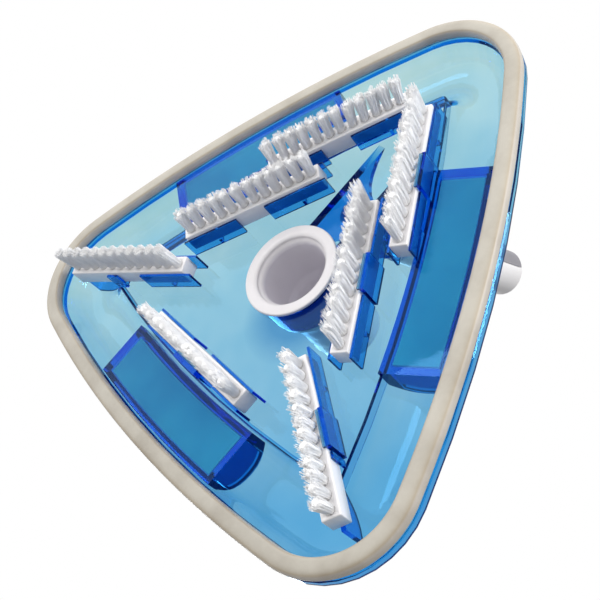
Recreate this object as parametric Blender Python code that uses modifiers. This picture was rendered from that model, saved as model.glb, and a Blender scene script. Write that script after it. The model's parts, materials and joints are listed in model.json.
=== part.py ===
"""Triangular see-through vacuum head for a swimming pool.

The head stands on the tips of its seven brushes at Z = 0. +X points at the tip corner, which the
handle leans towards, and +Y is the left side. Everything is placed from the middle of the
triangle, which the empty "middle" marks; the hose connector's vertical axis is a little ahead of it.
"""

import math

import bmesh
import bpy
from mathutils import Matrix, Vector
from mathutils.geometry import interpolate_bezier

# ---------------------------------------------------------------- driving dimensions, metres
GAP = 0.0003                  # clearance between pieces that touch
WALL = 0.0023                 # moulded wall of the shell
SMOOTH = math.radians(35)

# plan outline: three corner arcs joined by three long side arcs, measured at the rim
CORNER_REACH = 0.1580         # middle of the triangle to the rim at a corner
SIDE_REACH = 0.1061           # the same to the middle of a side
CORNER_RADIUS = 0.0372
CORNER_STEPS = 10
SIDE_STEPS = 7

# levels
BRISTLE_TOP = 0.0155
BASE_LOW = 0.0160             # brush strip, underside
BASE_HIGH = 0.0265
RIM = 0.0243                  # lowest edge of the shell
PLATEAU = 0.0298              # underside of the flat middle of the shell
STEP = 0.0350                 # underside just outside the upright step round the middle
CREST = 0.0433                # underside of the raised ring
PLATEAU_TOP = PLATEAU + WALL

# how far inside the rim each line of the shell's section lies
PLATEAU_INSET = 0.0344
CREST_INSET = 0.0175
STEP_WALL = 0.0018            # thickness of the step round the middle

# flange that the bumper sits under
FLANGE_LOW = 0.0268
FLANGE_HIGH = 0.0290
FLANGE_REACH = 0.0090
LIP_HIGH = 0.0316             # turned-up edge of the flange
LIP_TIP_HIGH = 0.0296         # the same at the tip corner, where it fades out

# bumper
BUMPER_LOW = 0.0190
BUMPER_HIGH = FLANGE_LOW - GAP
BUMPER_WIDTH = 0.0092

# weight pockets, one on each side
POCKET_LOW = 0.0240
POCKET_INSETS = (0.0018, 0.0332)
POCKET_HALF = 0.0553
CAVITY_INSETS = (0.0048, 0.0290)
CAVITY_HALF = 0.0510
WEIGHT_INSETS = (0.0054, 0.0284)
WEIGHT_HALF = 0.0500
WEIGHT_LOW = POCKET_LOW + WALL + GAP
ABOVE_ALL = 0.0600
STATIONS = 8                  # stretches along a side

# throat and hose connector
HOSE_X = 0.0022               # hose axis, ahead of the middle of the triangle
BORE = 0.0181
RING_RADIUS = 0.0269
RING_LOW = 0.0266
RING_HIGH = 0.0286
NECK_RADIUS = 0.0210
SPIGOT_RADIUS = 0.0190        # takes a 38 mm hose cuff
COLLAR_RADIUS = 0.0252
COLLAR_HIGH = 0.0480
SPIGOT_HIGH = 0.0940
TURN_STEPS = 32

# handle and its bracket
PIVOT_X = 0.0500
PIVOT_Z = 0.0560
HANDLE_LEAN = math.radians(22)
HANDLE_RADIUS = 0.0140
HANDLE_BORE = 0.0112
HANDLE_LENGTH = 0.1200
BORE_START = 0.0270
CHANNEL_START = 0.0500        # the tube is cut open along its front from here up
CHANNEL_DEPTH = 0.0079        # the cut's distance from the tube's axis
STRIP_STEPS = 12
TUBE_START = 0.0200           # the tube begins above the lugs; a narrow foot goes between them
FOOT_HALF = 0.0097
LUG_INNER = 0.0100
LUG_OUTER = 0.0146
EAR_RADIUS = 0.0110
BOLT_RADIUS = 0.0040
BUTTON_RADIUS = 0.0034
BUTTON_TIP = 0.0026
BUTTON_HOLE = 0.0044
BUTTON_RISE = 0.0005          # the hole's centre above the button, for the arm's swing
BUTTON_UP = 0.0780            # along the handle, from the pivot
CLIP_BEND = 0.0340            # where the two arms of the spring meet

# brushes
BASE_LENGTH = 0.0840
BASE_HALF = 0.0048
TUFTS = 12
TUFT_PITCH = 0.0069
RAIL = 0.0013                 # wall of a brush holder
RAIL_LOW = 0.0180
RAIL_HIGH = PLATEAU + 0.0016
RAIL_FACE = BASE_HALF + GAP
HOLDER_HALF = 0.0440
WINDOW = (-0.0106, 0.0070)    # ends of the window in the plain wall of a holder
LATCH_HALF = 0.0100
LATCH_LOW = 0.0141
LATCH_PROUD = 0.0012
SLIT = 0.0009
BRUSH_HEADING = math.radians(35.3)
WEB_START = 0.1120            # web over the overhanging end of a corner brush
WEB_END = 0.1468
WEB_HALF = 0.0012


# ---------------------------------------------------------------- plan geometry
def side_arc():
    """Distance of a side arc's centre behind the triangle's middle, and the arc's radius."""
    centre = CORNER_REACH - CORNER_RADIUS
    spare = SIDE_REACH - CORNER_RADIUS
    behind = (centre ** 2 - spare ** 2) / (2 * spare - centre)
    return behind, behind + SIDE_REACH


SIDE_BEHIND, SIDE_RADIUS = side_arc()
CORNER_CENTRE = CORNER_REACH - CORNER_RADIUS
JUNCTION = math.atan2(SIDE_BEHIND * math.sin(math.pi / 3), CORNER_CENTRE + SIDE_BEHIND / 2)
MIDDLE_X = (SIDE_REACH - CORNER_REACH) / 2
THIRD = math.tau / 3


def outline(grow):
    """Points of the rounded triangle, grown outwards by the given distance."""
    points = []
    for corner in range(3):
        turn = Matrix.Rotation(corner * THIRD, 2)
        for step in range(CORNER_STEPS + 1):
            angle = JUNCTION * (2 * step / CORNER_STEPS - 1)
            reach = CORNER_RADIUS + grow
            points.append(turn @ Vector((CORNER_CENTRE + reach * math.cos(angle),
                                         reach * math.sin(angle))))
        for step in range(1, SIDE_STEPS):
            angle = JUNCTION + (THIRD - 2 * JUNCTION) * step / SIDE_STEPS
            reach = SIDE_RADIUS + grow
            points.append(turn @ Vector((reach * math.cos(angle) - SIDE_BEHIND / 2,
                                         reach * math.sin(angle)
                                         - SIDE_BEHIND * math.sin(math.pi / 3))))
    return points


def side_point(inset, along, height):
    """A point of a side whose outward normal is +X, at a distance along the side."""
    reach = SIDE_RADIUS - inset
    return Vector((math.sqrt(reach ** 2 - along ** 2) - SIDE_BEHIND, along, height))


def bezier(start, pull_start, pull_end, end, steps):
    points = interpolate_bezier(*(Vector((*p, 0)) for p in (start, pull_start, pull_end, end)),
                                steps + 1)
    return [(point.x, point.y) for point in points]


def ring_section():
    """Underside of the raised ring as (inset, height), from the flat middle out to the rim."""
    rise = bezier((0.0335, STEP + 0.0003), (0.0290, 0.0395), (0.0250, CREST),
                  (CREST_INSET, CREST), 5)
    fall = bezier((CREST_INSET, CREST), (0.0085, CREST), (0.0042, 0.0395), (0.0026, 0.0330), 6)
    return rise + fall[1:]


def thicken(section, thickness):
    """The section moved along its upward normals."""
    moved = []
    for index, here in enumerate(section):
        before = Vector(section[max(index - 1, 0)])
        after = Vector(section[min(index + 1, len(section) - 1)])
        run = (after - before).normalized()
        moved.append((here[0] + run.y * thickness, here[1] - run.x * thickness))
    return moved


def height_at(section, inset):
    """Height of a section at an inset, by straight stretches between its points."""
    ordered = sorted(section)
    for (low_in, low_z), (high_in, high_z) in zip(ordered, ordered[1:]):
        if low_in <= inset <= high_in:
            return low_z + (high_z - low_z) * (inset - low_in) / (high_in - low_in)
    return ordered[0][1] if inset < ordered[0][0] else ordered[-1][1]


# ---------------------------------------------------------------- scene and mesh helpers
def clear_scene():
    for item in list(bpy.data.objects):
        bpy.data.objects.remove(item, do_unlink=True)


def collection(name):
    group = bpy.data.collections.new(name)
    bpy.context.scene.collection.children.link(group)
    return group


def material(name, colour, roughness, metallic=0.0, alpha=1.0):
    paint = bpy.data.materials.new(name)
    paint.use_nodes = True
    shader = paint.node_tree.nodes["Principled BSDF"]
    shader.inputs["Base Color"].default_value = (*colour, 1.0)
    shader.inputs["Roughness"].default_value = roughness
    shader.inputs["Metallic"].default_value = metallic
    shader.inputs["Alpha"].default_value = alpha
    return paint


def finish_mesh(shape, name):
    """A mesh from a bmesh, with its faces pointing out and its round parts smooth."""
    bmesh.ops.recalc_face_normals(shape, faces=shape.faces)
    mesh = bpy.data.meshes.new(name)
    shape.to_mesh(mesh)
    shape.free()
    mesh.shade_smooth()
    mesh.set_sharp_from_angle(angle=SMOOTH)
    return mesh


def loft(rings, name, closed=False):
    """Skin over rings of equal length, capped at both ends or closed on itself."""
    shape = bmesh.new()
    rows = [[shape.verts.new(point) for point in ring] for ring in rings]
    pairs = list(zip(rows, rows[1:]))
    if closed:
        pairs.append((rows[-1], rows[0]))
    else:
        shape.faces.new(rows[0])
        shape.faces.new(rows[-1])
    count = len(rows[0])
    for lower, upper in pairs:
        for index in range(count):
            follow = (index + 1) % count
            shape.faces.new((lower[index], lower[follow], upper[follow], upper[index]))
    return finish_mesh(shape, name)


def block(name, low, high):
    """A box between two corners."""
    shape = bmesh.new()
    low, high = Vector(low), Vector(high)
    place = Matrix.Translation((low + high) / 2) @ Matrix.Diagonal((*(high - low), 1))
    bmesh.ops.create_cube(shape, size=1, matrix=place)
    return finish_mesh(shape, name)


def rod(name, radius, low, high, axis="Z", sides=32, end_radius=None):
    """A cylinder or cone frustum along an axis through the origin."""
    shape = bmesh.new()
    turns = {"Z": Matrix(), "Y": Matrix.Rotation(math.radians(-90), 4, "X"),
             "X": Matrix.Rotation(math.radians(90), 4, "Y")}
    place = turns[axis] @ Matrix.Translation((0, 0, (low + high) / 2))
    bmesh.ops.create_cone(shape, cap_ends=True, segments=sides, radius1=radius,
                          radius2=radius if end_radius is None else end_radius,
                          depth=high - low, matrix=place)
    return finish_mesh(shape, name)


def add(name, mesh, group, parent, paint=None, place=None):
    item = bpy.data.objects.new(name, mesh)
    group.objects.link(item)
    item.parent = parent
    if place is not None:
        item.matrix_local = place
    if paint is not None and not mesh.materials:
        mesh.materials.append(paint)
    return item


def helper(name, mesh, group, parent, place=None):
    """A solid that only cuts or joins: drawn as wire and left out of the object."""
    item = add(name, mesh, group, parent, place=place)
    item.hide_render = True
    item.display_type = "WIRE"
    return item


def combine(item, group, operation):
    modifier = item.modifiers.new(operation.lower(), "BOOLEAN")
    modifier.operation = operation
    modifier.operand_type = "COLLECTION"
    modifier.collection = group
    modifier.solver = "EXACT"


def bevel(item, width, segments=1, angle=40):
    modifier = item.modifiers.new("bevel", "BEVEL")
    modifier.width = width
    modifier.segments = segments
    modifier.limit_method = "ANGLE"
    modifier.angle_limit = math.radians(angle)


def turned(name, profile, group, parent, paint, place=None):
    """A turned ring: a closed profile of (radius, height), run down its outer side first."""
    mesh = bpy.data.meshes.new(name)
    count = len(profile)
    mesh.from_pydata([(radius, 0, height) for radius, height in profile],
                     [(index, (index + 1) % count) for index in range(count)], [])
    item = add(name, mesh, group, parent, paint, place)
    screw = item.modifiers.new("turn", "SCREW")
    screw.steps = TURN_STEPS
    screw.render_steps = TURN_STEPS
    screw.use_merge_vertices = True
    screw.merge_threshold = 0.00001
    screw.use_smooth_shade = False
    return item


def heading(angle, x=0.0, y=0.0, z=0.0):
    return Matrix.Translation((x, y, z)) @ Matrix.Rotation(angle, 4, "Z")


# ---------------------------------------------------------------- shell
def tray_mesh():
    """The tray: flat middle, raised ring, upright rim and the flange for the bumper."""
    under = ring_section()
    over = thicken(under, WALL)
    rings = [(PLATEAU_INSET, PLATEAU), (PLATEAU_INSET - 0.0004, STEP)]
    rings += under
    rings += [(0.0004, FLANGE_LOW), (-0.0003, RIM), (-0.0026, RIM), (-0.0022, FLANGE_LOW),
              (-FLANGE_REACH + 0.0006, FLANGE_LOW), (-FLANGE_REACH, FLANGE_LOW + 0.0008)]
    lip = len(rings)
    rings += [(-FLANGE_REACH, LIP_HIGH), (-FLANGE_REACH + 0.0019, LIP_HIGH)]
    rings += [(-FLANGE_REACH + 0.0021, FLANGE_HIGH), (-0.0016, FLANGE_HIGH)]
    rings += reversed(over)
    rings += [(PLATEAU_INSET + STEP_WALL - 0.0004, STEP + WALL),
              (PLATEAU_INSET + STEP_WALL, PLATEAU_TOP)]
    rows = []
    for index, (inset, height) in enumerate(rings):
        level = lip_height if index in (lip, lip + 1) else (lambda x, z=height: z)
        rows.append([(x, y, level(x)) for x, y in outline(-min(inset, CORNER_RADIUS - 0.0002))])
    return loft(rows, "shell")


def lip_height(x):
    """The turned-up edge is full height at the rear and fades out at the tip."""
    fade = min(max((x - SIDE_REACH / 2) / (CORNER_REACH - SIDE_REACH / 2), 0), 1)
    return LIP_HIGH + (LIP_TIP_HIGH - LIP_HIGH) * fade


def along_side(section, half, name):
    """A bar of constant section that follows a side between two square ends."""
    stops = [half * (2 * step / STATIONS - 1) for step in range(STATIONS + 1)]
    return loft([[side_point(inset, stop, height) for inset, height in section]
                 for stop in stops], name)


def ring_stretch(insets, lift):
    """Part of the raised ring's section between two insets, moved up its normals by lift."""
    section = thicken(ring_section(), lift)
    inner = [point for point in section if insets[0] < point[0] < insets[1]]
    ends = [(inset, height_at(section, inset)) for inset in insets]
    return [ends[0]] + sorted(inner) + [ends[1]]


def pocket_section(insets, low, lift):
    """A pocket's section: a flat bottom, upright sides and a top that follows the ring."""
    return [(insets[0], low), (insets[1], low)] + ring_stretch(insets, lift)[::-1]


def lid_section():
    insets = (CAVITY_INSETS[0] + GAP, CAVITY_INSETS[1] - GAP)
    return ring_stretch(insets, 0.0) + ring_stretch(insets, WALL)[::-1]


def pocket_headings():
    return {"left": THIRD / 2, "rear": math.pi, "right": -THIRD / 2}


def build_pockets(fittings, cutters, group, parent, iron, blue):
    box = along_side(pocket_section(POCKET_INSETS, POCKET_LOW, WALL / 2), POCKET_HALF, "pocket")
    low = POCKET_LOW + WALL
    cavity_section = [(CAVITY_INSETS[0], low), (CAVITY_INSETS[1], low),
                      (CAVITY_INSETS[1], ABOVE_ALL), (CAVITY_INSETS[0], ABOVE_ALL)]
    cavity = along_side(cavity_section, CAVITY_HALF, "cavity")
    weight = along_side(pocket_section(WEIGHT_INSETS, WEIGHT_LOW, -0.0006), WEIGHT_HALF, "weight")
    lid = along_side(lid_section(), CAVITY_HALF - GAP, "cover")
    for side, angle in pocket_headings().items():
        place = heading(angle)
        helper("pocket_" + side, box, fittings, parent, place)
        helper("cavity_" + side, cavity, cutters, parent, place)
        add("weight_" + side, weight, group, parent, iron, place)
        add("weight_cover_" + side, lid, group, parent, blue, place)


def build_throat(fittings, cutters, parent):
    """The collar that the hose connector turns in."""
    helper("collar", rod("collar", COLLAR_RADIUS, PLATEAU + WALL / 3, COLLAR_HIGH, sides=TURN_STEPS),
           fittings, parent)
    helper("collar_bore", rod("bore", NECK_RADIUS + 0.0004, 0, ABOVE_ALL, sides=TURN_STEPS),
           cutters, parent)


def lug_outline():
    """Side view of a bracket lug as (x, z): a round ear on a foot that tapers to the tip."""
    ear = []
    for step in range(13):
        angle = math.radians(160 - 150 * step / 12)
        ear.append((PIVOT_X + EAR_RADIUS * math.cos(angle), PIVOT_Z + EAR_RADIUS * math.sin(angle)))
    foot = bezier(ear[-1], (0.0610, 0.0460), (0.0660, 0.0395), (0.0840, PLATEAU_TOP + 0.0002), 6)
    root = PLATEAU + WALL / 2
    shoulder = COLLAR_HIGH - 0.0010
    return ([(0.0200, root), (0.0200, shoulder), (0.0285, shoulder)] + ear + foot[1:]
            + [(0.0840, root)])


def build_bracket(fittings, cutters, parent):
    """Two lugs for the handle bolt on top of the shell, tied to the collar."""
    for hand in (1, -1):
        rings = [[(x, hand * y, z) for x, z in lug_outline()] for y in (LUG_INNER, LUG_OUTER)]
        helper(f"lug_{hand}", loft(rings, "lug"), fittings, parent)
    helper("lug_bore", rod("lug_bore", BOLT_RADIUS + GAP, -0.03, 0.03, axis="Y", sides=20),
           cutters, parent, Matrix.Translation((PIVOT_X, 0, PIVOT_Z)))


# ---------------------------------------------------------------- brushes
def brush_places():
    """Where the seven brushes sit: name, place, side of the latch, holder span and lean."""
    whole = (-HOLDER_HALF, HOLDER_HALF)
    inner = (-0.0465, 0.0145)
    yield "rear", heading(math.pi / 2, -0.0620), 1, whole, 0.0
    for hand, side in ((1, "left"), (-1, "right")):
        turn = -hand * BRUSH_HEADING
        yield "front_" + side, heading(turn, 0.0742, 0.0305 * hand), hand, whole, 0.0028
        yield "middle_" + side, heading(turn, 0.0175, 0.0457 * hand), hand, whole, 0.0017
        spoke = heading(hand * THIRD) @ Matrix.Translation((0.1030, 0, 0))
        yield "corner_" + side, spoke, -hand, inner, 0.0030


def holder_walls(span, latch_side):
    """Boxes of a brush holder as (low corner, high corner)."""
    start, stop = span
    face, back = RAIL_FACE, RAIL_FACE + RAIL
    plain = [(start, WINDOW[0]), (WINDOW[1], stop)]
    latched = [(start, -LATCH_HALF - SLIT), (LATCH_HALF + SLIT, stop)]
    for spans, side in ((plain, -latch_side), (latched, latch_side)):
        for low, high in spans:
            near, far = sorted((side * face, side * back))
            yield (low, near, RAIL_LOW), (high, far, RAIL_HIGH)
    near, far = sorted((latch_side * face, latch_side * (back + LATCH_PROUD)))
    yield (-LATCH_HALF, near, LATCH_LOW), (LATCH_HALF, far, RAIL_HIGH)
    hook = LATCH_HALF - 0.0003
    near, far = sorted((latch_side * (BASE_HALF - 0.0011), latch_side * back))
    yield (-hook, near, LATCH_LOW + 0.0003), (hook, far, BASE_LOW - GAP)
    for rib in (start * 0.6, stop * 0.6):
        yield (rib - 0.0008, -back, BASE_HIGH + GAP), (rib + 0.0008, back, RAIL_HIGH)


def web_outline(low):
    """Side view of the web over a corner brush, as (reach, z), top inside the shell's wall."""
    skin = thicken(ring_section(), WALL / 2)
    step_reach = CORNER_REACH - PLATEAU_INSET - STEP_WALL / 2
    reaches = [step_reach + (WEB_END - step_reach) * step / 6 for step in range(7)]
    return ([(WEB_START, low), (WEB_START, PLATEAU + WALL / 2), (step_reach, PLATEAU + WALL / 2)]
            + [(reach, height_at(skin, CORNER_REACH - reach)) for reach in reaches]
            + [(WEB_END, low)])


def build_webs(fittings, parent):
    for hand in (1, -1):
        profile = web_outline(BASE_HIGH + GAP)
        rings = [[(x, y, z) for x, z in profile] for y in (-WEB_HALF, WEB_HALF)]
        helper(f"web_{hand}", loft(rings, "web"), fittings, parent, heading(hand * THIRD))


def bristle_mesh(lean):
    """One strip of tufts: a thin root with tapered teeth that end flat on the floor."""
    points = []
    root = 0.0010
    for tuft in range(TUFTS):
        middle = (tuft - (TUFTS - 1) / 2) * TUFT_PITCH
        for offset, height in ((-0.0024, BRISTLE_TOP - root), (-0.0030, 0.0),
                               (0.0030, 0.0), (0.0024, BRISTLE_TOP - root)):
            slide = lean * (1 - height / BRISTLE_TOP)
            points.append((middle + offset + slide, height))
    ends = BASE_LENGTH / 2 - 0.0010
    points = [(-ends, BRISTLE_TOP), (-ends, BRISTLE_TOP - root)] + points
    points += [(ends, BRISTLE_TOP - root), (ends, BRISTLE_TOP)]
    return loft([[(x, y, z) for x, z in points] for y in (-0.0032, 0.0032)], "bristles")


def build_brushes(fittings, group, parent, white, nylon):
    base = block("brush_base", (-BASE_LENGTH / 2, -BASE_HALF, BASE_LOW),
                 (BASE_LENGTH / 2, BASE_HALF, BASE_HIGH))
    for name, place, latch_side, span, lean in brush_places():
        for index, (low, high) in enumerate(holder_walls(span, latch_side)):
            helper(f"holder_{name}_{index}", block("wall", low, high), fittings, parent, place)
        strip = add("brush_base_" + name, base, group, parent, white, place)
        bevel(strip, 0.0005)
        add("bristles_" + name, bristle_mesh(lean), group, parent, nylon, place)


# ---------------------------------------------------------------- bumper and connector
def bumper_mesh():
    """Soft strip that wraps the rim: rounded outside, hooked under the rim."""
    width, low, high = BUMPER_WIDTH, BUMPER_LOW, BUMPER_HIGH
    hook = RIM - GAP
    back = 0.0026 + GAP
    section = bezier((-0.0002, hook - 0.0004), (-0.0001, low + 0.0010), (0.0008, low),
                     (0.0030, low), 4)
    section += bezier((0.0050, low), (0.0080, low), (width, low + 0.0010), (width, low + 0.0038), 4)
    section += bezier((width, high - 0.0020), (width, high - 0.0006), (width - 0.0006, high),
                      (width - 0.0020, high), 2)
    section += [(back - 0.0003, high), (back, hook), (0.0, hook)]
    return loft([[(x, y, height) for x, y in outline(outset)] for outset, height in section],
                "bumper", closed=True)


def connector_profile():
    """Flange ring below, neck in the collar, groove for the retainer and a ribbed spigot."""
    groove_low = COLLAR_HIGH + 0.0012
    groove_high = groove_low + 0.0024
    outer = [(SPIGOT_RADIUS - 0.0012, SPIGOT_HIGH), (SPIGOT_RADIUS, SPIGOT_HIGH - 0.0020)]
    for rib in range(3):
        top = SPIGOT_HIGH - 0.0080 - rib * 0.0090
        outer += [(SPIGOT_RADIUS, top), (SPIGOT_RADIUS + 0.0007, top - 0.0008),
                  (SPIGOT_RADIUS, top - 0.0040)]
    outer += [(SPIGOT_RADIUS, 0.0600), (NECK_RADIUS, 0.0575), (NECK_RADIUS, groove_high),
              (NECK_RADIUS - 0.0012, groove_high), (NECK_RADIUS - 0.0012, groove_low),
              (NECK_RADIUS, groove_low), (NECK_RADIUS, RING_HIGH), (RING_RADIUS - 0.0004, RING_HIGH),
              (RING_RADIUS, RING_HIGH - 0.0005), (RING_RADIUS, RING_LOW + 0.0010),
              (RING_RADIUS - 0.0010, RING_LOW)]
    inner = [(BORE + 0.0034, RING_LOW), (BORE + 0.0024, RING_LOW + 0.0008),
             (BORE + 0.0020, RING_LOW + 0.0020), (BORE, RING_LOW + 0.0042),
             (BORE, 0.0560), (SPIGOT_RADIUS - 0.0026, 0.0600), (SPIGOT_RADIUS - 0.0026, SPIGOT_HIGH)]
    return outer + inner


def build_connector(group, parent, white, steel, rubber):
    turned("hose_connector", connector_profile(), group, parent, white)
    low = COLLAR_HIGH + 0.0012 + GAP
    high = low + 0.0018
    turned("retainer_ring", [(0.0245, high), (0.0245, low), (NECK_RADIUS - 0.0009, low),
                             (NECK_RADIUS - 0.0009, high)], group, parent, steel)
    low, high = RING_HIGH + GAP, PLATEAU - GAP
    turned("seal_washer", [(0.0248, high), (0.0248, low), (NECK_RADIUS + 0.0006, low),
                           (NECK_RADIUS + 0.0006, high)], group, parent, rubber)


# ---------------------------------------------------------------- handle
def strip_outline(height):
    """Section of the curved strip that fills the open front of the tube."""
    points = []
    for radius, turn in ((HANDLE_RADIUS - GAP, 1), (HANDLE_BORE + GAP, -1)):
        half = math.acos((CHANNEL_DEPTH + GAP) / radius)
        for step in range(STRIP_STEPS + 1):
            angle = turn * half * (2 * step / STRIP_STEPS - 1)
            points.append(Vector((radius * math.cos(angle), radius * math.sin(angle), height)))
    return points


def build_handle(group, cutters, pivot, white, grey):
    """The handle tube, bored from its free end, on a flat foot that turns between the lugs.

    Its front is open from above the foot and closed again by a grey strip."""
    tube = rod("handle", HANDLE_RADIUS, TUBE_START, HANDLE_LENGTH)
    handle = add("handle", tube, group, pivot, white)
    foot = bpy.data.collections.new("handle_foot")
    bpy.context.scene.collection.children.link(foot)
    helper("foot", rod("foot", EAR_RADIUS, -FOOT_HALF, FOOT_HALF, axis="Y"), foot, pivot)
    shank = block("shank", (0.0004 - EAR_RADIUS, 0.0004 - FOOT_HALF, 0),
                  (EAR_RADIUS - 0.0004, FOOT_HALF - 0.0004, TUBE_START + 0.0020))
    helper("shank", shank, foot, pivot)
    helper("tube_bore", rod("tube_bore", HANDLE_BORE, BORE_START, HANDLE_LENGTH + 0.01),
           cutters, pivot)
    helper("channel", block("channel", (CHANNEL_DEPTH, -0.02, CHANNEL_START),
                            (0.02, 0.02, HANDLE_LENGTH + 0.01)), cutters, pivot)
    helper("pin_bore", rod("pin_bore", BOLT_RADIUS + GAP, -0.03, 0.03, axis="Y", sides=20),
           cutters, pivot)
    helper("button_bore", rod("button_bore", BUTTON_HOLE, -0.03, 0.03, axis="Y", sides=20),
           cutters, pivot, Matrix.Translation((0, 0, BUTTON_UP + BUTTON_RISE)))
    combine(handle, foot, "UNION")
    combine(handle, cutters, "DIFFERENCE")
    strip = [strip_outline(height) for height in (CHANNEL_START + GAP, HANDLE_LENGTH)]
    add("handle_strip", loft(strip, "handle_strip"), group, pivot, grey)


def build_bolt(group, parent, steel):
    """Bolt along Y with a washer under its head and another under its cap nut."""
    place = Matrix.Translation((PIVOT_X, 0, PIVOT_Z))
    washer_in = LUG_OUTER + GAP
    washer_out = washer_in + 0.0012
    head_in = washer_out + GAP
    shank = rod("pivot_bolt", BOLT_RADIUS, -head_in - 0.0060, head_in + 0.0010, axis="Y", sides=24)
    bolt = add("pivot_bolt", shank, group, parent, steel, place)
    head = bpy.data.collections.new("bolt_head")
    bpy.context.scene.collection.children.link(head)
    helper("bolt_head", rod("bolt_head", 0.0075, head_in, head_in + 0.0050, axis="Y", sides=6),
           head, parent, place)
    combine(bolt, head, "UNION")
    lying = place @ Matrix.Rotation(math.radians(90), 4, "X")
    nut = [(0.0075, head_in + 0.0065), (0.0075, head_in), (BOLT_RADIUS + GAP, head_in),
           (BOLT_RADIUS + GAP, head_in + 0.0065)]
    turned("pivot_nut", nut, group, parent, steel, lying)
    ring = [(0.0085, washer_out), (0.0085, washer_in), (BOLT_RADIUS + GAP, washer_in),
            (BOLT_RADIUS + GAP, washer_out)]
    turned("washer_right", ring, group, parent, steel, lying)
    turned("washer_left", ring, group, parent, steel,
           place @ Matrix.Rotation(math.radians(-90), 4, "X"))


def build_clip(group, pivot, plastic):
    """The V spring in the tube, as two arms that each carry a snap button."""
    reach = BUTTON_UP + 0.0080 - CLIP_BEND
    splay = math.atan2(0.0075, reach)
    for hand, side in ((1, "left"), (-1, "right")):
        place = Matrix.Translation((0, 0, CLIP_BEND)) @ Matrix.Rotation(-hand * splay, 4, "X")
        near, far = sorted((hand * 0.0002, hand * 0.0018))
        arm = add("clip_arm_" + side, block("clip_arm", (-0.0035, near, 0), (0.0035, far, reach)),
                  group, pivot, plastic, place)
        knob = bpy.data.collections.new("button_" + side)
        bpy.context.scene.collection.children.link(knob)
        low, high = sorted((hand * 0.0065, hand * 0.0175))
        ends = (BUTTON_RADIUS, BUTTON_TIP)[::hand]
        helper("button_" + side, rod("button", ends[0], low, high, axis="Y", sides=20,
                                     end_radius=ends[1]),
               knob, pivot, Matrix.Translation((0, 0, BUTTON_UP)))
        combine(arm, knob, "UNION")


def main():
    clear_scene()
    group = collection("pool_vacuum_head")
    fittings = collection("shell_fittings")
    cutters = collection("shell_cutters")
    handle_cutters = collection("handle_cutters")

    blue = material("clear_blue", (0.10, 0.45, 0.85), 0.08, alpha=0.4)
    cream = material("cream_vinyl", (0.75, 0.70, 0.60), 0.45)
    white = material("white_plastic", (0.86, 0.85, 0.84), 0.35)
    nylon = material("white_nylon", (0.92, 0.92, 0.92), 0.55)
    iron = material("coated_iron", (0.25, 0.33, 0.36), 0.60)
    steel = material("stainless_steel", (0.62, 0.62, 0.63), 0.30, 1.0)
    rubber = material("black_rubber", (0.04, 0.04, 0.04), 0.70)
    grey = material("grey_plastic", (0.40, 0.39, 0.42), 0.50)

    middle = bpy.data.objects.new("middle", None)
    middle.location = (MIDDLE_X, 0, 0)
    group.objects.link(middle)
    throat = bpy.data.objects.new("throat", None)
    throat.location = (HOSE_X, 0, 0)
    throat.parent = middle
    group.objects.link(throat)
    pivot = bpy.data.objects.new("handle_pivot", None)
    pivot.location = (PIVOT_X, 0, PIVOT_Z)
    pivot.rotation_euler = (0, HANDLE_LEAN, 0)
    pivot.parent = middle
    group.objects.link(pivot)

    shell = add("shell", tray_mesh(), group, middle, blue)
    build_pockets(fittings, cutters, group, middle, iron, blue)
    build_throat(fittings, cutters, throat)
    build_bracket(fittings, cutters, middle)
    build_webs(fittings, middle)
    build_brushes(fittings, group, middle, white, nylon)
    combine(shell, fittings, "UNION")
    combine(shell, cutters, "DIFFERENCE")

    add("bumper", bumper_mesh(), group, middle, cream)
    build_connector(group, throat, white, steel, rubber)
    build_handle(group, handle_cutters, pivot, white, grey)
    build_bolt(group, middle, steel)
    build_clip(group, pivot, white)


main()
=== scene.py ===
"""Looks of a triangular see-through pool vacuum head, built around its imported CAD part.

Row frame, metres: Z = 0 is the plane of the bristle tips, +X points at the tip corner and +Y is the
left side. The soft and fine pieces (bumper, brush strips, tufts, hose connector) are rebuilt here in
detail; the other CAD nodes are shown as smooth copies of themselves.
"""

import json
import math
import random

import bmesh
import bpy
from mathutils import Matrix, Vector
from mathutils.geometry import interpolate_bezier


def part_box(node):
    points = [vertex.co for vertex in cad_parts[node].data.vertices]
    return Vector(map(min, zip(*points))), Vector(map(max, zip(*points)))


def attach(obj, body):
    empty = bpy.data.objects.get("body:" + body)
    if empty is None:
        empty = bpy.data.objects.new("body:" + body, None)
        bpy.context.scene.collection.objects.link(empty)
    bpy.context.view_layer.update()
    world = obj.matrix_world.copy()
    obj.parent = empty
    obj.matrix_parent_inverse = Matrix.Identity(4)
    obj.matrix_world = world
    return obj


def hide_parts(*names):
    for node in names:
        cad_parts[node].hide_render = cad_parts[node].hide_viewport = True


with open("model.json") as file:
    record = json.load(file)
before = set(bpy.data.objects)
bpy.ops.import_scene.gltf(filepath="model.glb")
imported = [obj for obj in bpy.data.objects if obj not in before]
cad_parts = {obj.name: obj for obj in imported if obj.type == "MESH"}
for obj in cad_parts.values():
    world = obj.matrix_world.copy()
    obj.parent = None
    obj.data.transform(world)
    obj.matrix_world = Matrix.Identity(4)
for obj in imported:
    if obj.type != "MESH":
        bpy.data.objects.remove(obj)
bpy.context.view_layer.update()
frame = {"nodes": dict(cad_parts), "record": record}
nodes = frame["nodes"]

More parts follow.
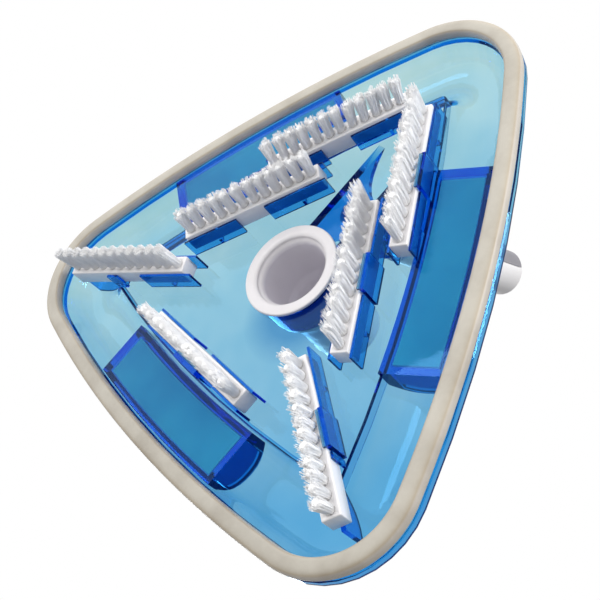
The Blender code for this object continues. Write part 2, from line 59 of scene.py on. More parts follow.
# ---------------------------------------------------------------- sizes shared with the CAD, metres
GAP = 0.0003                  # clearance between pieces that touch
CORNER_REACH = 0.1580         # middle of the triangle to the rim at a corner
SIDE_REACH = 0.1061           # the same to the middle of a side
CORNER_RADIUS = 0.0372
CORNER_CENTRE = CORNER_REACH - CORNER_RADIUS
MIDDLE_X = (SIDE_REACH - CORNER_REACH) / 2
HOSE_X = MIDDLE_X + 0.0022
THIRD = math.tau / 3
GOLDEN_ANGLE = math.pi * (3 - math.sqrt(5))

RIM = 0.0243                  # lowest edge of the shell
BUMPER_WIDTH = 0.0092
BUMPER_BACK = 0.0026          # the bumper's inner face, outside the shell's upright rim

BASE_LENGTH = 0.0840
BASE_HALF = 0.0048
BASE_LOW = 0.0160
BASE_HIGH = 0.0265
TUFTS = 12
TUFT_PITCH = 0.0069
BRUSH_HEADING = math.radians(35.3)
REAR_X = -0.0620              # middles of the brushes, from the middle of the triangle
FRONT_SPOT = (0.0742, 0.0305)
MIDDLE_SPOT = (0.0175, 0.0457)
CORNER_SPOKE = 0.1030

BORE = 0.0181
RING_RADIUS = 0.0269
RING_HIGH = 0.0286
NECK_RADIUS = 0.0210
NECK_HIGH = 0.0575
SPIGOT_RADIUS = 0.0190
SPIGOT_LOW = 0.0600
SPIGOT_WALL = 0.0026          # thickness of the spigot
BORE_HIGH = 0.0560            # the bore narrows from here up to the spigot's
GROOVE_LOW = 0.0492           # groove of the retainer ring
GROOVE_HIGH = 0.0516
GROOVE_DEPTH = 0.0012

# ---------------------------------------------------------------- fineness of the visual pieces
CORNER_STEPS = 32
SIDE_STEPS = 28
TURN_STEPS = 96
FILLET_STEPS = 5
SHARP = 50                    # edges sharper than this, in degrees, aren't smoothed
SHARP_STRIP = 30
SHARP_COPY = 35
JOIN = 0.00001                # triangle corners nearer than this are one

# ---------------------------------------------------------------- brushes
STRIP_ROUND = 0.0006          # rounded edges of a strip
SOCKET_DEPTH = 0.0007
SOCKET_MOUTH = 0.0006         # play round a tuft at the mouth of its socket
SOCKET_FOOT = 0.0001          # and at its foot
TUFT_ROOT = BASE_LOW + SOCKET_DEPTH * 0.8
ROOT_RADIUS = 0.0024          # of a tuft where it leaves its strip
TIP_HALF_ALONG = 0.0037
TIP_HALF_ACROSS = 0.0034
CORE_SHARE = 0.80             # of a tuft's width that its dense middle fills
CORE_SIDES = 16
CORE_LOW = 0.0018
# (part of the way from root to tips, share of the tuft's width)
CORE_RINGS = ((0.0, CORE_SHARE), (0.4, CORE_SHARE), (0.85, CORE_SHARE), (1.0, 0.35))
FILAMENTS = 120               # in one tuft
FILAMENT_RADIUS = 0.00017
FILAMENT_RINGS = 4
FILAMENT_TAPER = 0.25         # share of its radius that a filament loses on the way to its tip
FAN_BOW = 0.0003              # bow of the outermost filaments, towards the middle of the tuft
CLUMPS = 11                   # that the filaments of a tuft gather into at their tips
CLUMPING = 0.30               # share of the way to its clump that a tip leans
FRONT_LEAN = 0.0028           # shift of the tips along the strip
MIDDLE_LEAN = 0.0017
CORNER_LEAN = 0.0030
SPLAY = 0.7                   # width of unworn tips
SPLAY_WORN = 0.35             # added to it in proportion to wear
REAR_WEAR = 1.5               # how worn the rear brush is
# (hand, side, wear of its front and middle brush, wear of its corner brush)
SIDES = ((1, "left", 1.1, 1.1), (-1, "right", 1.0, 0.3))
# multiplied by the brush's wear:
TWIST = 0.0008                # most that one tuft leans off the others
CLUMP_SHORT = 0.0009          # spread of how far the clumps stay short of the full length
TIP_SHORT = 0.0004            # the same for single filaments
TIP_SPREAD = 0.00030          # of single filaments, off their clump
BOW_ALONG = 0.00012           # spread of their bow along the strip
BOW_ACROSS = 0.00015

# ---------------------------------------------------------------- hose connector
RIBS = 3
RIB_FIRST = 0.0080            # from the spigot's end to its first rib
RIB_PITCH = 0.0090
RIB_SECTION = ((0, 0), (0.0005, 0.0003), (0.0007, 0.0009), (0, 0.0040))    # (outwards, downwards)
ROUND_PULL = 0.55             # makes a bezier corner nearly circular

# ---------------------------------------------------------------- camera
CAMERA_PLACE = (-0.0659, 0.3711, -0.3390)
CAMERA_TURN = (-145.843, -29.577, 41.358)     # degrees
CAMERA_LENS = 61.387                          # millimetres
CAMERA_SENSOR = 36.0
CAMERA_NEAR = 0.01

# ---------------------------------------------------------------- light
GLOW_FROM = (0.35, -0.70, -0.65)
GLOW_SPAN = (-0.2, 0.95)      # from where the glow starts to where it is full
AMBIENT = 0.38
GLOW = 1.2
SEEN_THROUGH = 0.90           # strength of the world behind clear plastic
SKY_TOP = (0.494, -0.668, -0.686)
SKY_SPAN = (-0.20, 0.15)      # from the deep colour to the pale one, towards the top
SKY_PALE = (1.70, 1.20, 0.88)
SKY_DEEP = (0.44, 0.68, 0.80)
LAMP_TARGET = (0, 0, 0.03)
LAMPS = (                     # name, place, size in metres, power in watts
    ("side", (0.80, 0.60, -0.15), 0.35, 7),
    ("key_above", (-0.4, -0.6, 0.9), 0.6, 6),
    ("window", (0.0, -0.23, -0.60), 0.24, 0.7),
)
BOUNCES = 32                  # enough for light to cross every wall of the clear pieces
FLOOR_HALF = 3.0
FLOOR_HEIGHT = -0.0005

# ---------------------------------------------------------------- colour
DEPTH_TINT = (0.20, 0.75, 0.976, 1)           # what a length of clear plastic lets through
DEPTH_DENSITY = 420.0
PAINTED_GLOW = 0.010             # painted glow of the clear plastic: a faint blue emission, as if light was caught in its walls
THROAT_SHADE = (HOSE_X - 0.0150, 0.0190, 0)   # middle of the painted shade, a deeper blue, beside the throat
SHADE_FULL = 0.0150
SHADE_GONE = 0.0310
SHADE_BORDER = 0.0010            # width of the border between the painted shade inside a radius and the plain plastic


# ---------------------------------------------------------------- plan geometry
def outline(grow):
    """Points of the rounded triangle around its middle, grown outwards."""
    spare = SIDE_REACH - CORNER_RADIUS
    behind = (CORNER_CENTRE ** 2 - spare ** 2) / (2 * spare - CORNER_CENTRE)
    junction = math.atan2(behind * math.sin(math.pi / 3), CORNER_CENTRE + behind / 2)
    side = Vector((-behind / 2, -behind * math.sin(math.pi / 3)))
    points = []
    for corner in range(3):
        turn = Matrix.Rotation(corner * THIRD, 2)
        for step in range(CORNER_STEPS + 1):
            angle = junction * (2 * step / CORNER_STEPS - 1)
            points.append(turn @ (Vector((CORNER_CENTRE, 0)) + spoke(angle, CORNER_RADIUS + grow)))
        for step in range(1, SIDE_STEPS):
            angle = junction + (THIRD - 2 * junction) * step / SIDE_STEPS
            points.append(turn @ (side + spoke(angle, behind + SIDE_REACH + grow)))
    return points


def spoke(angle, reach):
    return Vector((math.cos(angle), math.sin(angle))) * reach


def bezier(start, pull_start, pull_end, end, steps):
    points = interpolate_bezier(*(Vector((*p, 0)) for p in (start, pull_start, pull_end, end)),
                                steps + 1)
    return [(point.x, point.y) for point in points]


def heading(angle, x=0.0, y=0.0):
    return Matrix.Translation((x, y, 0)) @ Matrix.Rotation(angle, 4, "Z")


def brush_places():
    """Name, place, lean of the tips along the strip and how ragged the tufts are."""
    middle = Matrix.Translation((MIDDLE_X, 0, 0))
    yield "rear", middle @ heading(math.pi / 2, REAR_X), 0.0, REAR_WEAR
    for hand, side, wear, corner_wear in SIDES:
        turn = -hand * BRUSH_HEADING
        for name, (x, y), lean in (("front_", FRONT_SPOT, FRONT_LEAN),
                                   ("middle_", MIDDLE_SPOT, MIDDLE_LEAN)):
            yield name + side, middle @ heading(turn, x, y * hand), lean, wear
        corner = middle @ heading(hand * THIRD) @ Matrix.Translation((CORNER_SPOKE, 0, 0))
        yield "corner_" + side, corner, CORNER_LEAN, corner_wear


# ---------------------------------------------------------------- mesh helpers
def finish_mesh(shape, name, sharp=SHARP):
    """The shape as a mesh, smooth but for its sharp edges."""
    bmesh.ops.recalc_face_normals(shape, faces=shape.faces)
    mesh = bpy.data.meshes.new(name)
    shape.to_mesh(mesh)
    shape.free()
    mesh.shade_smooth()
    mesh.set_sharp_from_angle(angle=math.radians(sharp))
    return mesh


def skin(shape, rows, closed_along=False):
    """Faces between closed rows of vertices, with the ends capped if the last row isn't joined on."""
    pairs = list(zip(rows, rows[1:])) + ([(rows[-1], rows[0])] if closed_along else [])
    count = len(rows[0])
    for lower, upper in pairs:
        for index in range(count):
            follow = (index + 1) % count
            shape.faces.new((lower[index], lower[follow], upper[follow], upper[index]))
    if not closed_along:
        shape.faces.new(rows[0])
        shape.faces.new(rows[-1])


def add(name, mesh, paint, body, replaced, place=None):
    """A visual piece on a CAD body, standing for CAD nodes."""
    item = bpy.data.objects.new(name, mesh)
    bpy.context.scene.collection.objects.link(item)
    if place is not None:
        item.matrix_world = place
    if not mesh.materials:
        mesh.materials.append(paint)
    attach(item, body)
    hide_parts(*replaced)


def turned_mesh(name, profile):
    """A ring turned about the Z axis from a closed profile of (radius, height)."""
    shape = bmesh.new()
    rows = []
    for step in range(TURN_STEPS):
        angle = math.tau * step / TURN_STEPS
        rows.append([shape.verts.new((radius * math.cos(angle), radius * math.sin(angle), height))
                     for radius, height in profile])
    skin(shape, rows, closed_along=True)
    return finish_mesh(shape, name)


# ---------------------------------------------------------------- material helpers
class Paint:
    """A material and its Principled shader, with short ways to wire textures into it."""

    def __init__(self, name, **sockets):
        self.material = bpy.data.materials.new(name)
        self.material.use_nodes = True
        self.tree = self.material.node_tree
        self.shader = self.tree.nodes["Principled BSDF"]
        self.place = self.tree.nodes.new("ShaderNodeTexCoord").outputs["Object"]
        for socket, value in sockets.items():
            self.shader.inputs[socket.replace("_", " ")].default_value = value

    def node(self, kind, **settings):
        made = self.tree.nodes.new(kind)
        for key, value in settings.items():
            setattr(made, key, value)
        return made

    def link(self, source, target):
        self.tree.links.new(source, target)

    def noise(self, scale, detail=4.0, roughness=0.5, stretch=(1, 1, 1)):
        """Noise over the piece, stretched along an axis where its number is small."""
        mapping = self.node("ShaderNodeMapping")
        mapping.inputs["Scale"].default_value = stretch
        self.link(self.place, mapping.inputs["Vector"])
        texture = self.node("ShaderNodeTexNoise")
        texture.inputs["Scale"].default_value = scale
        texture.inputs["Detail"].default_value = detail
        texture.inputs["Roughness"].default_value = roughness
        self.link(mapping.outputs["Vector"], texture.inputs["Vector"])
        return texture.outputs["Fac"]

    def ramp(self, source, *stops):
        """Colours at places from 0 to 1 along the source."""
        ramp = self.node("ShaderNodeValToRGB")
        elements = ramp.color_ramp.elements
        while len(elements) < len(stops):
            elements.new(0.5)
        for element, (position, colour) in zip(elements, stops):
            element.position = position
            element.color = (*colour, 1)
        self.link(source, ramp.inputs["Fac"])
        return ramp.outputs["Color"]

    def span(self, source, low, high, start=0.0, stop=1.0):
        """The source's range start to stop, as low to high."""
        node = self.node("ShaderNodeMapRange")
        for key, value in (("From Min", start), ("From Max", stop), ("To Min", low), ("To Max", high)):
            node.inputs[key].default_value = value
        self.link(source, node.inputs["Value"])
        return node.outputs["Result"]

    def times(self, one, other):
        """The product of two colours."""
        node = self.node("ShaderNodeMixRGB", blend_type="MULTIPLY")
        node.inputs["Fac"].default_value = 1.0
        self.link(one, node.inputs["Color1"])
        self.link(other, node.inputs["Color2"])
        return node.outputs["Color"]

    def bump(self, *layers):
        """Bump from (source, depth in metres) layers, one on the other."""
        normal = None
        for source, depth in layers:
            node = self.node("ShaderNodeBump")
            node.inputs["Distance"].default_value = depth
            node.inputs["Strength"].default_value = 1.0
            self.link(source, node.inputs["Height"])
            if normal is not None:
                self.link(normal, node.inputs["Normal"])
            normal = node.outputs["Normal"]
        self.link(normal, self.shader.inputs["Normal"])

    def off_axis(self, foot=(0, 0, 0)):
        """Distance from an upright line."""
        source = self.place
        for operation, other in (("SUBTRACT", foot), ("MULTIPLY", (1, 1, 0))):
            step = self.node("ShaderNodeVectorMath", operation=operation)
            step.inputs[1].default_value = other
            self.link(source, step.inputs[0])
            source = step.outputs["Vector"]
        reach = self.node("ShaderNodeVectorMath", operation="LENGTH")
        self.link(source, reach.inputs[0])
        return reach.outputs["Value"]

    def steepness(self, normal="Normal"):
        """0 on level faces and 1 on upright ones."""
        parts = self.node("ShaderNodeSeparateXYZ")
        self.link(self.node("ShaderNodeNewGeometry").outputs[normal], parts.inputs["Vector"])
        size = self.node("ShaderNodeMath", operation="ABSOLUTE")
        self.link(parts.outputs["Z"], size.inputs[0])
        return self.span(size.outputs["Value"], 1.0, 0.0)

    def into(self, source, socket):
        self.link(source, self.shader.inputs[socket])


def clear_blue():
    """Blue see-through moulding: pale on its level faces, deeper on upright walls and in depth, with
    painted shade beside the throat.
    """
    # painted glow: the faint blue emission of the whole moulding
    paint = Paint("clear_blue", Transmission_Weight=1.0, IOR=1.49, Roughness=0.03,
                  Emission_Color=(0.0, 0.10, 1.0, 1), Emission_Strength=PAINTED_GLOW,
                  Specular_Tint=(0.15, 0.55, 1.0, 1))
    level_or_upright = paint.ramp(paint.steepness("True Normal"), (0.88, (0.66, 0.83, 0.92)),
                                  (0.96, (0.14, 0.52, 0.89)))
    # painted shade: a deeper blue round the throat, full within SHADE_FULL and gone at SHADE_GONE
    painted_throat_shade = paint.ramp(paint.span(paint.off_axis(THROAT_SHADE), 0, 1, SHADE_FULL, SHADE_GONE),
                              (0.0, (0.34, 0.57, 0.79)), (1.0, (1, 1, 1)))
    clouds = paint.ramp(paint.noise(16, 3, 0.6), (0.35, (0.76, 0.89, 0.95)), (0.62, (1, 1, 1)))
    paint.into(paint.times(paint.times(level_or_upright, painted_throat_shade), clouds), "Base Color")
    absorb = paint.node("ShaderNodeVolumeAbsorption")
    absorb.inputs["Color"].default_value = DEPTH_TINT
    absorb.inputs["Density"].default_value = DEPTH_DENSITY
    paint.link(absorb.outputs["Volume"], paint.tree.nodes["Material Output"].inputs["Volume"])
    paint.bump((paint.noise(28, 2), 0.0003), (paint.noise(160, 3, stretch=(1, 0.15, 1)), 0.00002))
    return paint.material


def cream_vinyl():
    paint = Paint("cream_vinyl", Specular_IOR_Level=0.45)
    mottle = paint.ramp(paint.noise(45, 5, 0.6), (0.30, (0.80, 0.78, 0.76)), (0.60, (1, 1, 1)))
    # tan band on the sloping faces, and painted highlight: the upright sides lighter
    tan_band_and_painted_highlight = paint.ramp(paint.steepness(), (0.0, (0.47, 0.44, 0.38)), (0.25, (0.43, 0.37, 0.28)),
                        (0.55, (0.52, 0.48, 0.43)), (1.0, (0.54, 0.51, 0.46)))
    paint.into(paint.times(tan_band_and_painted_highlight, mottle), "Base Color")
    paint.into(paint.span(paint.noise(90, 4), 0.34, 0.55), "Roughness")
    paint.bump((paint.noise(700, 3), 0.00004), (paint.noise(60, 2), 0.00015))
    return paint.material


def white_plastic(name="white_plastic", inside=0.0, shade_colour=(1, 1, 1), plain_colour=(1, 1, 1)):
    """White moulding, with painted shade: greyer inside a radius of its upright axis."""
    paint = Paint(name)
    grain = paint.ramp(paint.noise(35, 4), (0.3, (0.80, 0.78, 0.785)), (0.7, (0.86, 0.845, 0.85)))
    # painted shade: a grey within the given radius of the upright axis, the plain colour outside it
    painted_shade_inside = paint.ramp(paint.span(paint.off_axis(), 0, 1, inside, inside + SHADE_BORDER),
                       (0.0, shade_colour), (1.0, plain_colour))
    paint.into(paint.times(grain, painted_shade_inside), "Base Color")
    paint.into(paint.span(paint.noise(120, 4), 0.24, 0.40), "Roughness")
    paint.bump((paint.noise(900, 2), 0.00001))
    return paint.material


# painted shade: the grey of the strip along the handle, standing for the shade on its upper side
def grey_plastic():
    paint = Paint("grey_plastic", Roughness=0.55)
    paint.into(paint.ramp(paint.noise(60, 5, 0.6), (0.3, (0.22, 0.215, 0.235)),
                          (0.7, (0.27, 0.26, 0.285))), "Base Color")
    paint.bump((paint.noise(900, 3), 0.00003))
    return paint.material


def white_nylon():
    paint = Paint("white_nylon", Roughness=0.7, Specular_IOR_Level=0.15)
    paint.bump((paint.noise(1600, 2, stretch=(1, 1, 0.05)), 0.00020))
    paint.into(paint.ramp(paint.noise(160, 3), (0.3, (0.92, 0.92, 0.93)), (0.7, (0.98, 0.975, 0.97))),
               "Base Color")
    return paint.material


def coated_iron():
    paint = Paint("coated_iron", Roughness=0.5)
    paint.into(paint.ramp(paint.noise(30, 6, 0.6), (0.25, (0.08, 0.70, 0.84)),
                          (0.75, (0.13, 0.92, 0.97))), "Base Color")
    paint.bump((paint.noise(400, 5), 0.00010))
    return paint.material


def stainless_steel():
    paint = Paint("stainless_steel", Metallic=1.0, Base_Color=(0.62, 0.62, 0.63, 1))
    paint.into(paint.span(paint.noise(900, 3, stretch=(1, 1, 0.05)), 0.22, 0.42), "Roughness")
    return paint.material


def black_rubber():
    paint = Paint("black_rubber", Base_Color=(0.03, 0.03, 0.032, 1))
    paint.into(paint.span(paint.noise(200, 4), 0.6, 0.85), "Roughness")
    return paint.material


# ---------------------------------------------------------------- bumper
def bumper_section():
    """(outset, height) of the soft strip: rounded outside and hooked under the rim."""
    low, high = (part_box("bumper")[end].z for end in (0, 1))
    width, hook = BUMPER_WIDTH, RIM - GAP
    foot, side, top = (0.0026, low), (width, low + 0.0040), (width - 0.0022, high)
    section = bezier((-0.0002, hook - 0.0004), (-0.0001, low + 0.0003), (0.0006, low), foot, 8)
    section += bezier(foot, (0.0070, low), (width, low + 0.0008), side, 12)[1:]
    section += bezier(side, (width, high - 0.0012), (width - 0.0006, high), top, 8)[1:]
    return section + [(BUMPER_BACK, high), (BUMPER_BACK + GAP, hook), (0.0, hook)]


def build_bumper(paint):
    shape = bmesh.new()
    rows = [[shape.verts.new((x + MIDDLE_X, y, height)) for x, y in outline(outset)]
            for outset, height in bumper_section()]
    skin(shape, rows, closed_along=True)
    add("bumper_strip", finish_mesh(shape, "bumper_strip"), paint, "head",
        ["bumper"])


# ---------------------------------------------------------------- brushes
def strip_mesh():
    """The moulded strip of a brush, with rounded edges."""
    shape = bmesh.new()
    size = Vector((BASE_LENGTH, 2 * BASE_HALF, BASE_HIGH - BASE_LOW))
    place = Matrix.Translation((0, 0, (BASE_HIGH + BASE_LOW) / 2)) @ Matrix.Diagonal((*size, 1))
    bmesh.ops.create_cube(shape, size=1, matrix=place)
    bmesh.ops.bevel(shape, geom=shape.edges[:], offset=STRIP_ROUND, segments=3, profile=0.5,
                    affect="EDGES")
    return finish_mesh(shape, "brush_strip", SHARP_STRIP)


def socket_mesh():
    """Cutter for the sockets of one strip."""
    shape = bmesh.new()
    for middle in tuft_middles():
        place = Matrix.Translation((middle, 0, BASE_LOW))
        bmesh.ops.create_cone(shape, cap_ends=True, segments=20, radius1=ROOT_RADIUS + SOCKET_MOUTH,
                              radius2=ROOT_RADIUS + SOCKET_FOOT, depth=2 * SOCKET_DEPTH,
                              matrix=place)
    return finish_mesh(shape, "sockets")


def socketed_strip():
    """The strip with its sockets cut, as one mesh that all brushes copy."""
    strip = bpy.data.objects.new("strip", strip_mesh())
    cutter = bpy.data.objects.new("cutter", socket_mesh())
    for item in (strip, cutter):
        bpy.context.scene.collection.objects.link(item)
    cut = strip.modifiers.new("sockets", "BOOLEAN")
    cut.object, cut.operation, cut.solver = cutter, "DIFFERENCE", "EXACT"
    mesh = bpy.data.meshes.new_from_object(strip.evaluated_get(
        bpy.context.evaluated_depsgraph_get()))
    for item in (strip, cutter):
        bpy.data.objects.remove(item)
    return mesh


def tuft_middles():
    return [(tuft - (TUFTS - 1) / 2) * TUFT_PITCH for tuft in range(TUFTS)]


def sunflower(index, count):
    """Point of an even spread over the unit disc."""
    return spoke(index * GOLDEN_ANGLE, math.sqrt((index + 0.5) / count))


def filament(shape, root, tip, bow):
    """A closed square-section filament that bows between its root and its tip."""
    rows = []
    for ring in range(FILAMENT_RINGS):
        part = ring / (FILAMENT_RINGS - 1)
        middle = root.lerp(tip, part) + bow * (4 * part * (1 - part))
        half = FILAMENT_RADIUS * (1.0 - FILAMENT_TAPER * part)
        rows.append([shape.verts.new(middle + Vector((half * math.cos(turn), half * math.sin(turn), 0)))
                     for turn in (0.0, math.pi / 2, math.pi, 3 * math.pi / 2)])
    skin(shape, rows)


def core(shape, middle, lean, splay):
    """The dense middle of a tuft, where its filaments lie too close to see between."""
    rows = []
    for part, share in CORE_RINGS:
        height = TUFT_ROOT * (1 - part) + CORE_LOW * part
        slide = middle + lean * (1 - height / BASE_LOW)
        along, tan_band_and_painted_highlight = ((ROOT_RADIUS * (1 - part) + tip * part) * share
                         for tip in (TIP_HALF_ALONG * splay, TIP_HALF_ACROSS))
        rows.append([shape.verts.new((slide + along * spot.x, tan_band_and_painted_highlight * spot.y, height))
                     for spot in (spoke(math.tau * side / CORE_SIDES, 1) for side in range(CORE_SIDES))])
    skin(shape, rows)


def tuft(shape, middle, lean, wear, chance):
    """One round bundle that fans out along the strip, its ends gathered into ragged points."""
    twist = chance.uniform(-TWIST, TWIST) * wear
    splay = SPLAY + SPLAY_WORN * wear
    core(shape, middle, lean + twist, splay)
    clumps = [(sunflower(index, CLUMPS), abs(chance.gauss(0, CLUMP_SHORT)) * wear)
              for index in range(CLUMPS)]
    for index in range(FILAMENTS):
        spot = sunflower(index, FILAMENTS)
        clump, short = min(clumps, key=lambda item: (item[0] - spot).length)
        end = spot.lerp(clump, CLUMPING * min(wear, 1.0))
        root = Vector((middle + spot.x * ROOT_RADIUS, spot.y * ROOT_RADIUS, TUFT_ROOT))
        spread = Vector((chance.gauss(0, TIP_SPREAD), chance.gauss(0, TIP_SPREAD), 0)) * wear
        tip = Vector((middle + lean + twist + end.x * TIP_HALF_ALONG * splay,
                      end.y * TIP_HALF_ACROSS,
                      short + abs(chance.gauss(0, TIP_SHORT)) * wear)) + spread
        bow = Vector((chance.gauss(0, BOW_ALONG), chance.gauss(0, BOW_ACROSS), 0)) * wear
        bow.x -= spot.x * FAN_BOW
        filament(shape, root, tip, bow)


def build_brushes(strip_paint, tuft_paint):
    strip = socketed_strip()
    strip.materials.clear()
    strip.materials.append(strip_paint)
    for number, (name, place, lean, wear) in enumerate(brush_places()):
        chance = random.Random(number)
        add("brush_strip_" + name, strip, strip_paint, "head",
            ["brush_base_" + name], place)
        shape = bmesh.new()
        for middle in tuft_middles():
            tuft(shape, middle, lean, wear, chance)
        add("tufts_" + name, finish_mesh(shape, "tufts_" + name), tuft_paint, "head",
            ["bristles_" + name], place)


# ---------------------------------------------------------------- hose connector
def fillet(corner, before, after, radius):
    """Points of a rounded corner between two directions of a profile."""
    corner = Vector(corner)
    start = corner + (Vector(before) - corner).normalized() * radius
    stop = corner + (Vector(after) - corner).normalized() * radius
    return bezier(start, start.lerp(corner, ROUND_PULL), stop.lerp(corner, ROUND_PULL), stop,
                  FILLET_STEPS)


def connector_profile():
    """Section of the connector: rounded flange ring, neck, retainer groove and ribbed spigot."""
    low, high = (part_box("hose_connector")[end].z for end in (0, 1))
    spigot_bore, groove = SPIGOT_RADIUS - SPIGOT_WALL, NECK_RADIUS - GROOVE_DEPTH
    corners = [  # (radius, height) and how far the corner is rounded
        ((SPIGOT_RADIUS, high), 0.0010), ((SPIGOT_RADIUS, SPIGOT_LOW), 0.0010),
        ((NECK_RADIUS, NECK_HIGH), 0.0008), ((NECK_RADIUS, GROOVE_HIGH), 0.0002),
        ((groove, GROOVE_HIGH), 0.0002), ((groove, GROOVE_LOW), 0.0002),
        ((NECK_RADIUS, GROOVE_LOW), 0.0002), ((NECK_RADIUS, RING_HIGH), 0.0006),
        ((RING_RADIUS, RING_HIGH), 0.0006), ((RING_RADIUS, low), 0.0009),
        ((BORE + 0.0031, low), 0.0014), ((BORE + 0.0022, low + 0.0010), 0.0005),
        ((BORE + 0.0020, low + 0.0024), 0.0006), ((BORE, low + 0.0042), 0.0020),
        ((BORE, BORE_HIGH), 0.0010), ((spigot_bore, SPIGOT_LOW), 0.0010),
        ((spigot_bore, high), 0.0008)]
    points = []
    for index, (corner, radius) in enumerate(corners):
        if index == 1:
            points += rib_points()
        points += fillet(corner, corners[index - 1][0], corners[(index + 1) % len(corners)][0], radius)
    return points


def rib_points():
    """The spigot's ribs, from its end down: steep on the far side and sloping on the near one."""
    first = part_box("hose_connector")[1].z - RIB_FIRST
    return [(SPIGOT_RADIUS + out, first - rib * RIB_PITCH - down)
            for rib in range(RIBS) for out, down in RIB_SECTION]


def build_connector(paint):
    add("swivel_connector", turned_mesh("swivel_connector", connector_profile()), paint, "connector",
        ["hose_connector"], Matrix.Translation((HOSE_X, 0, 0)))


# ---------------------------------------------------------------- other CAD nodes
def smoothed(name):
    """A copy of a CAD node's mesh with its loose triangles joined and its round parts smooth."""
    source = nodes[name].data
    joined = bpy.data.meshes.new(name)
    joined.from_pydata([vertex.co for vertex in source.vertices], [],
                       [face.vertices[:] for face in source.polygons])
    shape = bmesh.new()
    shape.from_mesh(joined)
    bmesh.ops.remove_doubles(shape, verts=shape.verts[:], dist=JOIN)
    return finish_mesh(shape, name + "_smooth", SHARP_COPY)


def build_smooth_pieces(paints, rebuilt):
    """Every CAD node that isn't rebuilt in detail is shown as a smooth copy."""
    slots = {part["node"]: part["material_slot"] for part in frame["record"]["subparts"]}
    for body, members in frame["record"]["behaviour"]["bodies"].items():
        for name in members:
            nodes[name].data.materials.clear()
            nodes[name].data.materials.append(paints[slots[name]])
            if name not in rebuilt:
                add(name + "_smooth", smoothed(name), paints[slots[name]], body, [name])


# ---------------------------------------------------------------- stage, light and camera
def build_floor():
    """A pale floor under the tips, seen from above only: from beneath it lets the view through."""
    shape = bmesh.new()
    bmesh.ops.create_grid(shape, x_segments=1, y_segments=1, size=FLOOR_HALF)
    mesh = bpy.data.meshes.new("floor")
    shape.to_mesh(mesh)
    shape.free()
    floor = bpy.data.objects.new("floor", mesh)
    floor.location.z = FLOOR_HEIGHT
    bpy.context.scene.collection.objects.link(floor)
    floor.visible_shadow = floor.visible_diffuse = False
    floor.visible_glossy = floor.visible_transmission = False
    paint = Paint("floor_paint", Base_Color=(0.82, 0.82, 0.83, 1), Roughness=0.9)
    clear = paint.node("ShaderNodeBsdfTransparent")
    mix = paint.node("ShaderNodeMixShader")
    paint.link(paint.node("ShaderNodeNewGeometry").outputs["Backfacing"], mix.inputs["Fac"])
    paint.link(paint.shader.outputs["BSDF"], mix.inputs[1])
    paint.link(clear.outputs["BSDF"], mix.inputs[2])
    paint.link(mix.outputs["Shader"], paint.tree.nodes["Material Output"].inputs["Surface"])
    mesh.materials.append(paint.material)


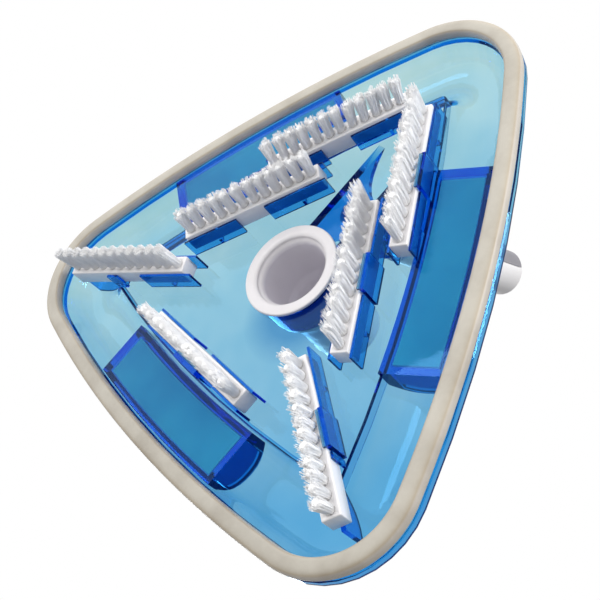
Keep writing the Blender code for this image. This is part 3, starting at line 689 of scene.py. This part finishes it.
def build_world():
    """White to look at, pale blue to look through; as light, a soft glow from one side below."""
    world = bpy.data.worlds.new("studio")
    bpy.context.scene.world = world
    world.use_nodes = True
    tree = world.node_tree
    background = tree.nodes["Background"]

    def node(kind, *sources, **settings):
        made = tree.nodes.new(kind)
        for key, value in settings.items():
            setattr(made, key, value)
        for socket, source in zip(made.inputs, sources):
            if isinstance(source, bpy.types.NodeSocket):
                tree.links.new(source, socket)
            else:
                socket.default_value = source
        return made.outputs

    direction = node("ShaderNodeTexCoord")["Generated"]
    facing = node("ShaderNodeVectorMath", direction, Vector(GLOW_FROM).normalized(),
                  operation="DOT_PRODUCT")["Value"]
    glow = node("ShaderNodeMapRange", facing, *GLOW_SPAN, AMBIENT, AMBIENT + GLOW,
                interpolation_type="SMOOTHSTEP")["Result"]
    height = node("ShaderNodeVectorMath", direction, Vector(SKY_TOP).normalized(),
                  operation="DOT_PRODUCT")["Value"]
    ramp = node("ShaderNodeValToRGB", node("ShaderNodeMapRange", height, *SKY_SPAN, 0, 1)["Result"])
    elements = ramp[0].node.color_ramp.elements
    elements[0].color, elements[1].color = (*SKY_DEEP, 1), (*SKY_PALE, 1)
    path = node("ShaderNodeLightPath")
    tint = node("ShaderNodeMixRGB", path["Is Transmission Ray"], (1, 1, 1, 1), ramp["Color"])["Color"]
    tree.links.new(tint, background.inputs["Color"])
    through = node("ShaderNodeMapRange", path["Is Transmission Ray"], 0, 1, glow, SEEN_THROUGH)["Result"]
    seen = node("ShaderNodeMapRange", path["Is Camera Ray"], 0, 1, through, 1.0)["Result"]
    tree.links.new(seen, background.inputs["Strength"])


def soft_light(name, place, size, power):
    lamp = bpy.data.lights.new(name, "AREA")
    lamp.shape = "DISK"
    lamp.size = size
    lamp.energy = power
    item = bpy.data.objects.new(name, lamp)
    item.location = place
    item.rotation_euler = (Vector(LAMP_TARGET) - Vector(place)).to_track_quat("-Z", "Y").to_euler()
    item.visible_camera = item.visible_transmission = False
    bpy.context.scene.collection.objects.link(item)


def build_camera():
    lens = bpy.data.cameras.new("camera")
    lens.lens = CAMERA_LENS
    lens.sensor_width = CAMERA_SENSOR
    lens.clip_start = CAMERA_NEAR
    camera = bpy.data.objects.new("camera", lens)
    camera.location = CAMERA_PLACE
    camera.rotation_euler = [math.radians(angle) for angle in CAMERA_TURN]
    bpy.context.scene.collection.objects.link(camera)
    bpy.context.scene.camera = camera


def main():
    paints = {"clear_blue": clear_blue(), "cream_vinyl": cream_vinyl(),
              "white_plastic": white_plastic(), "white_nylon": white_nylon(),
              "coated_iron": coated_iron(), "stainless_steel": stainless_steel(),
              "black_rubber": black_rubber(), "grey_plastic": grey_plastic()}
    rebuilt = {"bumper", "hose_connector"}
    rebuilt |= {kind + name for name, *_ in brush_places() for kind in ("brush_base_", "bristles_")}
    build_smooth_pieces(paints, rebuilt)
    build_bumper(paints["cream_vinyl"])
    build_brushes(paints["white_plastic"], paints["white_nylon"])
    # the connector gets painted shade: grey inside the radius of its bore
    build_connector(white_plastic("connector_plastic", BORE, (0.80, 0.79, 0.85), (0.88, 0.87, 0.88)))
    build_floor()
    build_world()
    for lamp in LAMPS:
        soft_light(*lamp)
    build_camera()
    scene = bpy.context.scene
    scene.view_settings.view_transform = "Standard"
    scene.cycles.max_bounces = scene.cycles.transmission_bounces = BOUNCES


main()
